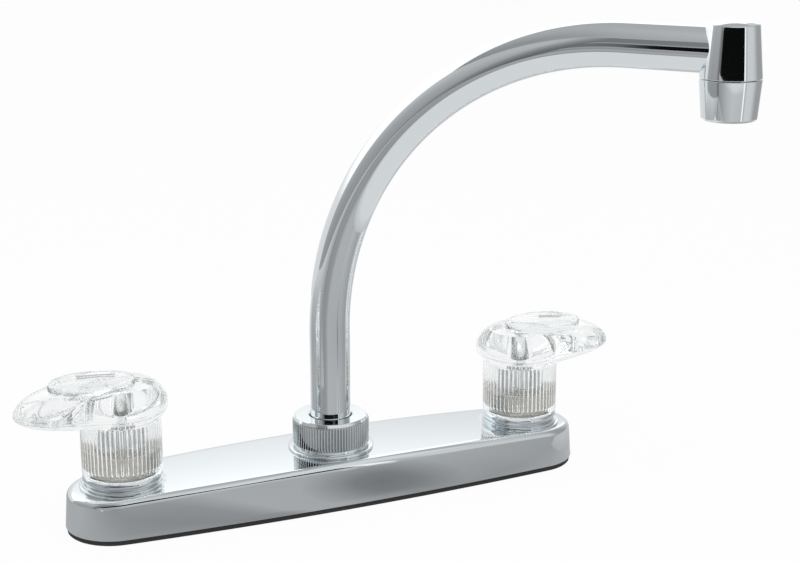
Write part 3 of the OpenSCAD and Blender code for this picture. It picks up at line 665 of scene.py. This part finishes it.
def makeCap(side, x, facing):
    a, b, plug = cap["length"] / 2, cap["width"] / 2, cap["plugInset"]
    edge, rim, foot = cap["edge"], cap["rim"], cap["footEdge"]
    top = capSeat + cap["thickness"]
    plugLow = capSeat - cap["plugDepth"]

    def oval(inset, z):
        return [(x + facing * (cap["shift"] + (a - inset) * math.cos(t)),
                 facing * (b - inset) * math.sin(t), z) for t in turns(cap["around"])]

    rings = [oval(plug + cap["plugEdge"], plugLow), oval(plug, plugLow + cap["plugEdge"]),
             oval(plug, capSeat), oval(foot, capSeat), oval(0, capSeat + foot)]
    for inwards, below in quarterRound(cap["edgeSteps"]):
        rings.append(oval(edge * inwards, top - edge * below))
    rings.append(oval(rim, top))
    for j in range(1, cap["dishSteps"] + 1):
        share = j / cap["dishSteps"]
        fall = cap["dish"] * (1 - (1 - share) ** 2)
        rings.append(oval(rim + (b - rim - cap["spine"]) * share, top - fall))
    lens = finishMesh(side + "IndexCap", skin(rings, firstCap="ladder", lastCap="ladder"), cap["sharpAngle"])
    dress(lens, "clearAcrylic", side + "_lever", side + "_index_cap")


print("handles and caps")
for side, x, facing in (("hot", -handleX, -1), ("cold", handleX, 1)):
    makeHandle(side, x, facing)
    makeCap(side, x, facing)


# Bonnet nut, which shows through the clear handle.

bonnet = {
    "web": 2.8, "flange": 2.0, "bore": 12.8, "flangeRadius": 11.6, "neck": 7.1,
    "boreEdge": 0.2, "footEdge": 0.4, "shoulder": 0.8, "neckEdge": 0.3,
}


def makeBonnetNut(side, x):
    node = side + "_bonnet_nut"
    low, high, radius = lowOf(node)[2], highOf(node)[2], radiusOf(node)
    webZ, ledgeZ = high - bonnet["web"], high - (bonnet["web"] + bonnet["flange"])
    bore, flange, neck = bonnet["bore"], bonnet["flangeRadius"], bonnet["neck"]
    corners = [(bore, low, bonnet["boreEdge"]), (radius, low, bonnet["footEdge"]),
               (radius, high, bonnet["shoulder"]), (neck, high, bonnet["neckEdge"]),
               (neck, webZ, 0), (flange, webZ, 0), (flange, ledgeZ, 0), (bore, ledgeZ, 0)]
    dress(lathe(side + "BonnetNut", corners, (x, 0)), "dullNickel", "base", node)


print("bonnet nuts")
for side, x in (("hot", -handleX), ("cold", handleX)):
    makeBonnetNut(side, x)


# Spout nut: straight ridges cut off by the chamfer, over a thin flange ring.

nut = {
    "radius": 18.1, "depth": 0.45, "ridges": 80, "perRidge": 10, "crestPower": 1.4, "ridgeEnd": 0.6,
    "top": 16.8, "topBulge": 0.1, "topEdge": 0.15, "chamfer": 2.3, "chamferSteps": 8, "chamferGap": 0.1,
    "foot": 1.1, "footEdge": 0.15, "footTaper": 0.4, "bore": 15.9, "web": 2.4,
    "hole": 10.125, "holeEdge": 0.4, "sharpAngle": 28,
}


def makeNut():
    count = nut["ridges"] * nut["perRidge"]
    chamferZ, webZ = nutTop - nut["chamfer"], nutTop - nut["web"]
    root, footTop = nut["radius"] - nut["depth"], nutZ + nut["foot"]
    rings = []

    def add(radiusAt, z):
        rings.append([(radiusAt(i) * math.cos(math.tau * i / count),
                       radiusAt(i) * math.sin(math.tau * i / count), z) for i in range(count)])

    def circle(radius, z):
        add(lambda i: radius, z)

    def ridge(i):
        share = (i % nut["perRidge"]) / nut["perRidge"]
        return nut["radius"] - nut["depth"] * (1 - abs(math.cos(math.pi * share)) ** nut["crestPower"])

    circle(root - 2 * nut["footEdge"], nutZ)
    circle(root - nut["footEdge"], nutZ + nut["footEdge"])
    circle(root - nut["footTaper"], footTop)
    add(ridge, footTop + nut["ridgeEnd"])
    add(ridge, chamferZ - nut["chamferGap"])
    for j in range(nut["chamferSteps"]):
        share = j / nut["chamferSteps"]
        cone = nut["radius"] - (nut["radius"] - nut["top"]) * share
        add(lambda i: min(ridge(i), cone), chamferZ + nut["chamfer"] * share)
    circle(nut["top"] + nut["topBulge"], nutTop - nut["topEdge"])
    circle(nut["top"] - nut["topEdge"], nutTop)
    circle(nut["hole"] + nut["holeEdge"], nutTop)
    circle(nut["hole"], nutTop - nut["holeEdge"])
    circle(nut["hole"], webZ)
    circle(nut["bore"], webZ)
    circle(nut["bore"], nutZ)
    made = finishMesh("spoutNut", skin(rings, closed=True), nut["sharpAngle"])
    dress(made, "knurledChrome", "base", "spout_nut")


flangeRing = {"edge": 0.3, "shoulder": 0.8, "arcSteps": 8}


def makeFlangeRing():
    node, bore = "spout_flange_ring", nut["bore"]
    low, high, radius = lowOf(node)[2], highOf(node)[2], radiusOf(node)
    corners = [(bore, low, 0), (radius, low, flangeRing["edge"]), (radius, high, flangeRing["shoulder"]),
               (bore, high, 0)]
    dress(lathe("spoutFlange", corners, arcSteps=flangeRing["arcSteps"]), "turnedChrome", "base", node)


print("spout nut")
makeNut()
makeFlangeRing()


# Spout: a bent tube that ends in a tapered head with its aerator.

spout = {
    "radius": 9.525, "wall": 1.0, "bend": 141.0, "stop": 2.0, "around": 96, "bendSteps": 120, "endSteps": 6,
}
outletZ = highOf("spout_tube")[2] - spout["radius"]
headMiddle = tuple((lowOf("aerator_shell")[i] + highOf("aerator_shell")[i]) / 2 for i in range(2))
spoutReach = math.hypot(*headMiddle)
spoutDirection = tuple(c / spoutReach for c in headMiddle)


def alongSpout(start, along, across, z):
    # the point that lies so far along the spout's direction from the start, and so far to its left
    return (start[0] + along * spoutDirection[0] - across * spoutDirection[1],
            start[1] + along * spoutDirection[1] + across * spoutDirection[0], z)


def makeTube():
    bend, steps = spout["bend"], spout["endSteps"]
    low, bendZ = lowOf("spout_tube")[2], outletZ - bend
    endLength = spoutReach - bend - spout["stop"]
    route = [(0, low + (bendZ - low) * j / steps, 0.0) for j in range(steps)]
    for j in range(spout["bendSteps"] + 1):
        turn = math.pi / 2 * j / spout["bendSteps"]
        route.append((bend * (1 - math.cos(turn)), bendZ + bend * math.sin(turn), turn))
    for j in range(1, steps + 1):
        route.append((bend + endLength * j / steps, outletZ, math.pi / 2))

    def ring(along, z, tilt, radius):
        points = []
        for i in range(spout["around"]):
            a = math.tau * i / spout["around"]
            out, across = radius * math.cos(a), radius * math.sin(a)
            points.append(alongSpout((0, 0), along + out * math.cos(tilt), across, z - out * math.sin(tilt)))
        return points

    outer = [ring(*place, spout["radius"]) for place in route]
    inner = [ring(*place, spout["radius"] - spout["wall"]) for place in reversed(route)]
    dress(finishMesh("spoutTube", skin(outer + inner, closed=True)), "tubeChrome", "spout", "spout_tube")


head = {
    "top": 10.7, "height": 21.3, "dome": 1.9, "domeSteps": 12, "edge": 0.5, "seamEdge": 0.25,
    "spigot": 9.9, "spigotLength": 7.5, "spigotEdge": 0.3, "spigotFillet": 0.2,
    "bore": 7.0, "boreEdge": 0.2, "boreFillet": 0.5,
    "socketGap": 0.1, "socketStart": -16.0, "socketStop": 0.3, "sharpAngle": 38,
}


def makeHead():
    bore, spigot, seam = head["bore"], head["spigot"], radiusOf("spout_head")
    spigotZ = lowOf("spout_head")[2]
    seamZ = spigotZ + head["spigotLength"]
    topZ = seamZ + head["height"]
    domeRadius = (head["top"] ** 2 + head["dome"] ** 2) / (2 * head["dome"])
    corners = [(0, outletZ, 0), (bore, outletZ, head["boreFillet"]), (bore, spigotZ, head["boreEdge"]),
               (spigot, spigotZ, head["spigotEdge"]), (spigot, seamZ, head["spigotFillet"]),
               (seam, seamZ, head["seamEdge"]), (head["top"], topZ, head["edge"])]
    for j in range(1, head["domeSteps"]):
        r = head["top"] * (1 - j / head["domeSteps"])
        corners.append((r, topZ + head["dome"] - domeRadius + math.sqrt(domeRadius ** 2 - r ** 2), 0))
    corners.append((0, topZ + head["dome"], 0))
    body = lathe("spoutHead", corners, headMiddle, closed=False, sharpAngle=head["sharpAngle"])

    # the socket that holds the end of the tube
    radius = spout["radius"] + head["socketGap"]
    angles = [math.tau * i / spout["around"] for i in range(spout["around"])]
    rings = []
    for along in (head["socketStart"], head["socketStop"] - spout["stop"]):
        rings.append([alongSpout(headMiddle, along, radius * math.cos(a), outletZ + radius * math.sin(a))
                      for a in angles])
    socket = finishMesh("socket", skin(rings, firstCap="fan", lastCap="fan"))
    carve(body, socket, sharpAngle=head["sharpAngle"])
    dress(body, "turnedChrome", "spout", "spout_head")


aerator = {
    "lowRadius": 11.2, "outlet": 8.6, "bore": 10.0, "lip": 1.6, "edge": 1.3, "outletEdge": 0.4,
    "seamEdge": 0.25, "boreEdge": 0.2, "arcSteps": 8,
}


def makeAerator():
    low, high, seam = lowOf("aerator_shell")[2], highOf("aerator_shell")[2], radiusOf("aerator_shell")
    outlet, bore, lipZ = aerator["outlet"], aerator["bore"], low + aerator["lip"]
    corners = [(outlet, low, aerator["outletEdge"]), (aerator["lowRadius"], low, aerator["edge"]),
               (seam, high, aerator["seamEdge"]), (bore, high, aerator["boreEdge"]),
               (bore, lipZ, 0), (outlet, lipZ, aerator["boreEdge"])]
    shell = lathe("aeratorShell", corners, headMiddle, arcSteps=aerator["arcSteps"])
    dress(shell, "turnedChrome", "spout", "aerator_shell")


print("spout")
makeTube()
makeHead()
makeAerator()


# Pieces whose frame solid is shown as it is.

plainNodes = {
    "castBrass": ["waterway_body"],
    "turnedBrass": ["spout_sleeve"],
    "whiteNylon": ["hot_lock_nut", "cold_lock_nut", "hot_stem", "cold_stem", "spout_thrust_ring"],
    "zincSteel": ["hot_shank_washer", "cold_shank_washer"],
    "drawnSteel": ["hot_seat_spring", "cold_seat_spring"],
    "brightSteel": ["hot_handle_screw", "cold_handle_screw"],
    "greyNylon": ["hot_cartridge", "cold_cartridge", "aerator_insert"],
    "blackRubber": ["hot_valve_seat", "cold_valve_seat", "hot_stem_o_ring", "cold_stem_o_ring",
                    "spout_o_rings", "aerator_washer"],
}
print("inner pieces")
for finish, names in plainNodes.items():
    for name in names:
        nodes[name].data.materials.clear()
        nodes[name].data.materials.append(finishes[finish])


# Studio: a white floor and surround, and a light tent of plain cards that only reflections see.
# The tent is open towards the camera, and the dark room shows there. The shade in that opening
# is seen only through the clear acrylic.

studio = {
    "floorSize": 8000.0, "floorTone": 0.94, "fibreScale": 900.0, "fibreTone": 0.98, "floorGlow": 0.94,
    "worldLevel": 0.72, "lampPower": 7.0, "lampPlace": (-500.0, -700.0, 1300.0), "lampSize": 900.0,
    "bounces": 32,
}
camera = {
    "place": (-286.18, -704.11, 307.10), "yaw": 24.63, "pitch": 15.01, "roll": 0.08,
    "lens": 76.2, "sensor": 36, "nearest": 0.05, "farthest": 30,  # the last two in metres
}
tent = {
    "leftPost": (-610.0, -290.0), "rightPost": (200.0, -498.0), "rightCorner": (620.0, -300.0),
    "backLeft": (-610.0, 420.0), "backRight": (640.0, 420.0), "sill": 150.0, "lintel": 330.0, "height": 700.0,
    "besideDeck": ((142.0, -60.0, 0.5), 260.0, 260.0), "ceiling": ((-900.0, -600.0, 700.0), 1800.0, 1100.0),
    "seamWidth": 34.0, "seamZ": 0.6, "leftSeamStart": 170.0, "rightSeamStart": 118.0,
}
board = {
    "start": 12.0, "before": 40.0, "z": 120.0, "turn": -158.0, "slant": 0.5, "length": 125.0, "depth": 202.0,
}

# Light along each card and, where it changes there too, up the card: mm from the corner and strength.
cardLight = {
    "darkRoom": [[(0, 0.2), (90, 0.16), (140, 0.004)]],
    "glassShade": [[(0, 0.4)]],
    "sill": [[(0, 0.75), (300, 0.95), (600, 1.4), (836, 1.3)],
             [(0, 0.42), (118, 0.45), (132, 0.56), (150, 0.6)]],
    "lintel": [[(0, 0.3), (350, 0.35), (550, 1)], [(0, 1.2), (45, 1.2), (60, 0.72), (370, 0.72)]],
    "board": [[(0, 0.6), (8, 0.8), (125, 0.8)]],
    "besideDeck": [[(0, 0.5), (30, 0.62), (260, 0.62)]],
    "leftWall": [[(0, 0.16), (60, 0.28), (130, 0.42), (400, 0.42), (700, 0.5)],
                 [(0, 0.8), (250, 1), (500, 1.3)]],
    "rightWall": [[(0, 1.1), (34, 1.1), (40, 0.5), (60, 0.55), (90, 0.72), (250, 0.7), (450, 0.46)]],
    "rightSide": [[(0, 0.4), (350, 0.38), (700, 0.7)]],
    "backWall": [[(0, 1)], [(0, 0.8), (160, 0.85), (180, 0.95), (200, 1.1), (225, 1.3)]],
    "ceiling": [[(0, 0.65), (500, 0.7), (850, 1)],
                [(0, 0.75), (300, 0.7), (500, 0.56), (650, 0.5), (1100, 0.46)]],
    "leftSeam": [[(0, 0.46), (60, 0.42), (150, 0.24)], [(0, 1.9), (11.9, 1), (22.1, 1), (34, 1.9)]],
    "rightSeam": [[(0, 0.46), (60, 0.42), (150, 0.24)], [(0, 1.9), (11.9, 1), (22.1, 1), (34, 1.9)]],
}

# Light on the tent's floor: by direction in degrees from -Y towards +X, by distance from the middle in mm,
# and round a spot of shade in front of the plate, by share of its reach.
tentFloor = {
    "reach": 1500.0, "z": 0.3, "strength": 1.6, "shadePlace": (32.0, -62.0), "shadeReach": 44.0,
    "byTurn": [(-180, 1.0), (-150, 0.6), (-137, 0.42), (-90, 0.46), (-68, 0.35), (-58, 0.32), (-44, 0.36),
               (-32, 0.5), (10, 0.48), (27, 0.46), (38, 0.47), (52, 0.43), (68, 0.38), (83, 0.48),
               (110, 0.62), (128, 0.75), (160, 1.0)],
    "byReach": [(0, 0.6), (100, 0.6), (130, 0.66), (190, 0.66), (260, 0.62), (400, 0.75), (620, 1.0)],
    "shade": [(0, 0.5), (0.35, 0.56), (1, 1)],
}


def seenRay(bench):
    # 1 for the rays that look at the floor or the surround: straight, mirrored or through glass
    straight, mirrored, through = [bench.add("ShaderNodeLightPath", None, None, kind)
                                   for kind in ("Is Camera Ray", "Is Glossy Ray", "Is Transmission Ray")]
    return bench.maths("MAXIMUM", bench.maths("MAXIMUM", straight, mirrored), through)


def makeSheet(name, origin, along, upward, width, height):
    # a flat sheet whose own X runs along its lower edge and whose own Y runs up it
    bm = bmesh.new()
    corners = [(0, 0), (width, 0), (width, height), (0, height)]
    bm.faces.new([bm.verts.new((u * mm, v * mm, 0)) for u, v in corners])
    sheet = linkPiece(name, bm)
    x, y = Vector(along).normalized(), Vector(upward).normalized()
    z = x.cross(y)
    sheet.matrix_world = Matrix(((x.x, y.x, z.x, origin[0] * mm), (x.y, y.y, z.y, origin[1] * mm),
                                 (x.z, y.z, z.z, origin[2] * mm), (0, 0, 0, 1)))
    return sheet


def makeFloor():
    size = studio["floorSize"]
    floor = makeSheet("floor", (-size / 2, -size / 2, 0), (1, 0, 0), (0, 1, 0), size, size)
    made, bench = newMaterial("floorPaper")
    fibre = bench.noise(studio["fibreScale"], detail=3.0)
    tone = [studio["floorTone"]] * 3
    colour = bench.mix(fibre, tone, [c * studio["fibreTone"] for c in tone])
    paper = bench.add("ShaderNodeBsdfDiffuse", None, {"Color": colour})
    share = seenRay(bench) * studio["floorGlow"]
    bench.output(bench.add("ShaderNodeMixShader", None, {0: share, 1: paper, 2: bench.glow(1.0)}))
    floor.data.materials.append(made)


def makeWorld():
    world = bpy.data.worlds.new("surround")
    bpy.context.scene.world = world
    world.use_nodes = True
    bench = Bench(world.node_tree)
    seen = seenRay(bench)
    level = seen + (1 - seen) * studio["worldLevel"]
    bench.output(bench.add("ShaderNodeBackground", None, {"Color": (1, 1, 1, 1), "Strength": level}),
                 "ShaderNodeOutputWorld")


def showOnly(sheet, metal=True, glass=False):
    sheet.visible_camera = False
    sheet.visible_diffuse = False
    sheet.visible_shadow = False
    sheet.visible_glossy = metal
    sheet.visible_transmission = glass


def card(name, origin, along, upward, width, height):
    # a card of the tent, with one ramp of light along its X and, for some, one up its Y
    sheet = makeSheet(name, origin, along, upward, width, height)
    made, bench = newMaterial(name)
    light = None
    for side, size, stops in zip(bench.sides(), (width, height), cardLight[name]):
        ramp = bench.ramp(side * (1 / (size * mm)), stops, size)
        light = ramp if light is None else light * ramp
    bench.output(bench.glow(light))
    sheet.data.materials.append(made)
    showOnly(sheet)
    return sheet


def wall(name, start, end, low, high):
    along = (end[0] - start[0], end[1] - start[1], 0)
    return card(name, (*start, low), along, (0, 0, 1), math.hypot(*along), high - low)


def levelCard(name):
    place, width, depth = tent[name]
    card(name, place, (1, 0, 0), (0, 1, 0), width, depth)


def makeBoard():
    # a level white board under the spout, slanted in plan, which only the tube's lower side sees
    facing = (math.cos(math.radians(board["turn"])), math.sin(math.radians(board["turn"])))
    slant = [spoutDirection[i] * board["slant"] + facing[i] for i in range(2)]
    corner = [spoutDirection[i] * board["start"] - facing[i] * board["before"] for i in range(2)]
    card("board", (*corner, board["z"]), (*spoutDirection, 0), (*slant, 0), board["length"], board["depth"])


def makeTentFloor():
    reach, shadeReach = tentFloor["reach"], tentFloor["shadeReach"]
    corner = (-reach, -reach, tentFloor["z"])
    sheet = makeSheet("tentFloor", corner, (1, 0, 0), (0, 1, 0), 2 * reach, 2 * reach)
    made, bench = newMaterial("tentFloor")
    x, y = [side - reach * mm for side in bench.sides()]
    turn = bench.maths("ARCTAN2", x, y * -1) * (1 / math.tau) + 0.5
    byTurn = bench.ramp(turn, [(angle + 180, level) for angle, level in tentFloor["byTurn"]], 360)
    byReach = bench.ramp(bench.length(x, y) * (1 / (reach * mm)), tentFloor["byReach"], reach)
    fromShade = bench.length(*[side - place * mm for side, place in zip((x, y), tentFloor["shadePlace"])])
    shade = bench.ramp(fromShade * (1 / (shadeReach * mm)), tentFloor["shade"])
    bench.output(bench.glow(byTurn * byReach * shade * tentFloor["strength"]))
    sheet.data.materials.append(made)
    showOnly(sheet)


def makeSeams():
    # strips on the floor from near the deck to the two front posts, bright along both edges
    width = tent["seamWidth"]
    for name, post in (("leftSeam", tent["leftPost"]), ("rightSeam", tent["rightPost"])):
        reach, start = math.hypot(*post), tent[name + "Start"]
        along = (post[0] / reach, post[1] / reach, 0)
        side = (-along[1], along[0], 0)
        corner = [along[i] * start - side[i] * width / 2 for i in range(2)]
        card(name, (*corner, tent["seamZ"]), along, side, reach - start, width)


def makeTent():
    left, right, corner = tent["leftPost"], tent["rightPost"], tent["rightCorner"]
    backLeft, backRight = tent["backLeft"], tent["backRight"]
    sill, lintel, height = tent["sill"], tent["lintel"], tent["height"]
    wall("darkRoom", left, right, sill, lintel)
    showOnly(wall("glassShade", left, right, sill, lintel), metal=False, glass=True)
    wall("sill", left, right, 0, sill)
    wall("lintel", left, right, lintel, height)
    makeBoard()
    levelCard("besideDeck")
    wall("leftWall", left, backLeft, 0, height)
    wall("rightWall", right, corner, 0, height)
    wall("rightSide", corner, backRight, 0, height)
    wall("backWall", backLeft, backRight, 0, height)
    levelCard("ceiling")
    makeTentFloor()
    makeSeams()


def makeLamp():
    data = bpy.data.lights.new("softbox", "AREA")
    data.shape = "SQUARE"
    data.size = studio["lampSize"] * mm
    data.energy = studio["lampPower"]
    lamp = bpy.data.objects.new("softbox", data)
    bpy.context.scene.collection.objects.link(lamp)
    lamp.location = [c * mm for c in studio["lampPlace"]]
    lamp.rotation_euler = (-Vector(studio["lampPlace"])).to_track_quat("-Z", "Y").to_euler()
    lamp.visible_glossy = False


def makeCamera():
    data = bpy.data.cameras.new("camera")
    data.lens = camera["lens"]
    data.sensor_width = camera["sensor"]
    data.clip_start, data.clip_end = camera["nearest"], camera["farthest"]
    view = bpy.data.objects.new("camera", data)
    bpy.context.scene.collection.objects.link(view)
    view.location = [c * mm for c in camera["place"]]
    view.rotation_euler = [math.radians(a) for a in (90 - camera["pitch"], camera["roll"], -camera["yaw"])]
    bpy.context.scene.camera = view


print("studio")
makeFloor()
makeWorld()
makeTent()
makeLamp()
makeCamera()
bpy.context.scene.view_settings.view_transform = "Standard"
for kind in ("max_bounces", "transmission_bounces", "glossy_bounces"):
    setattr(bpy.context.scene.cycles, kind, studio["bounces"])  # clear plastic needs long light paths

print("done")
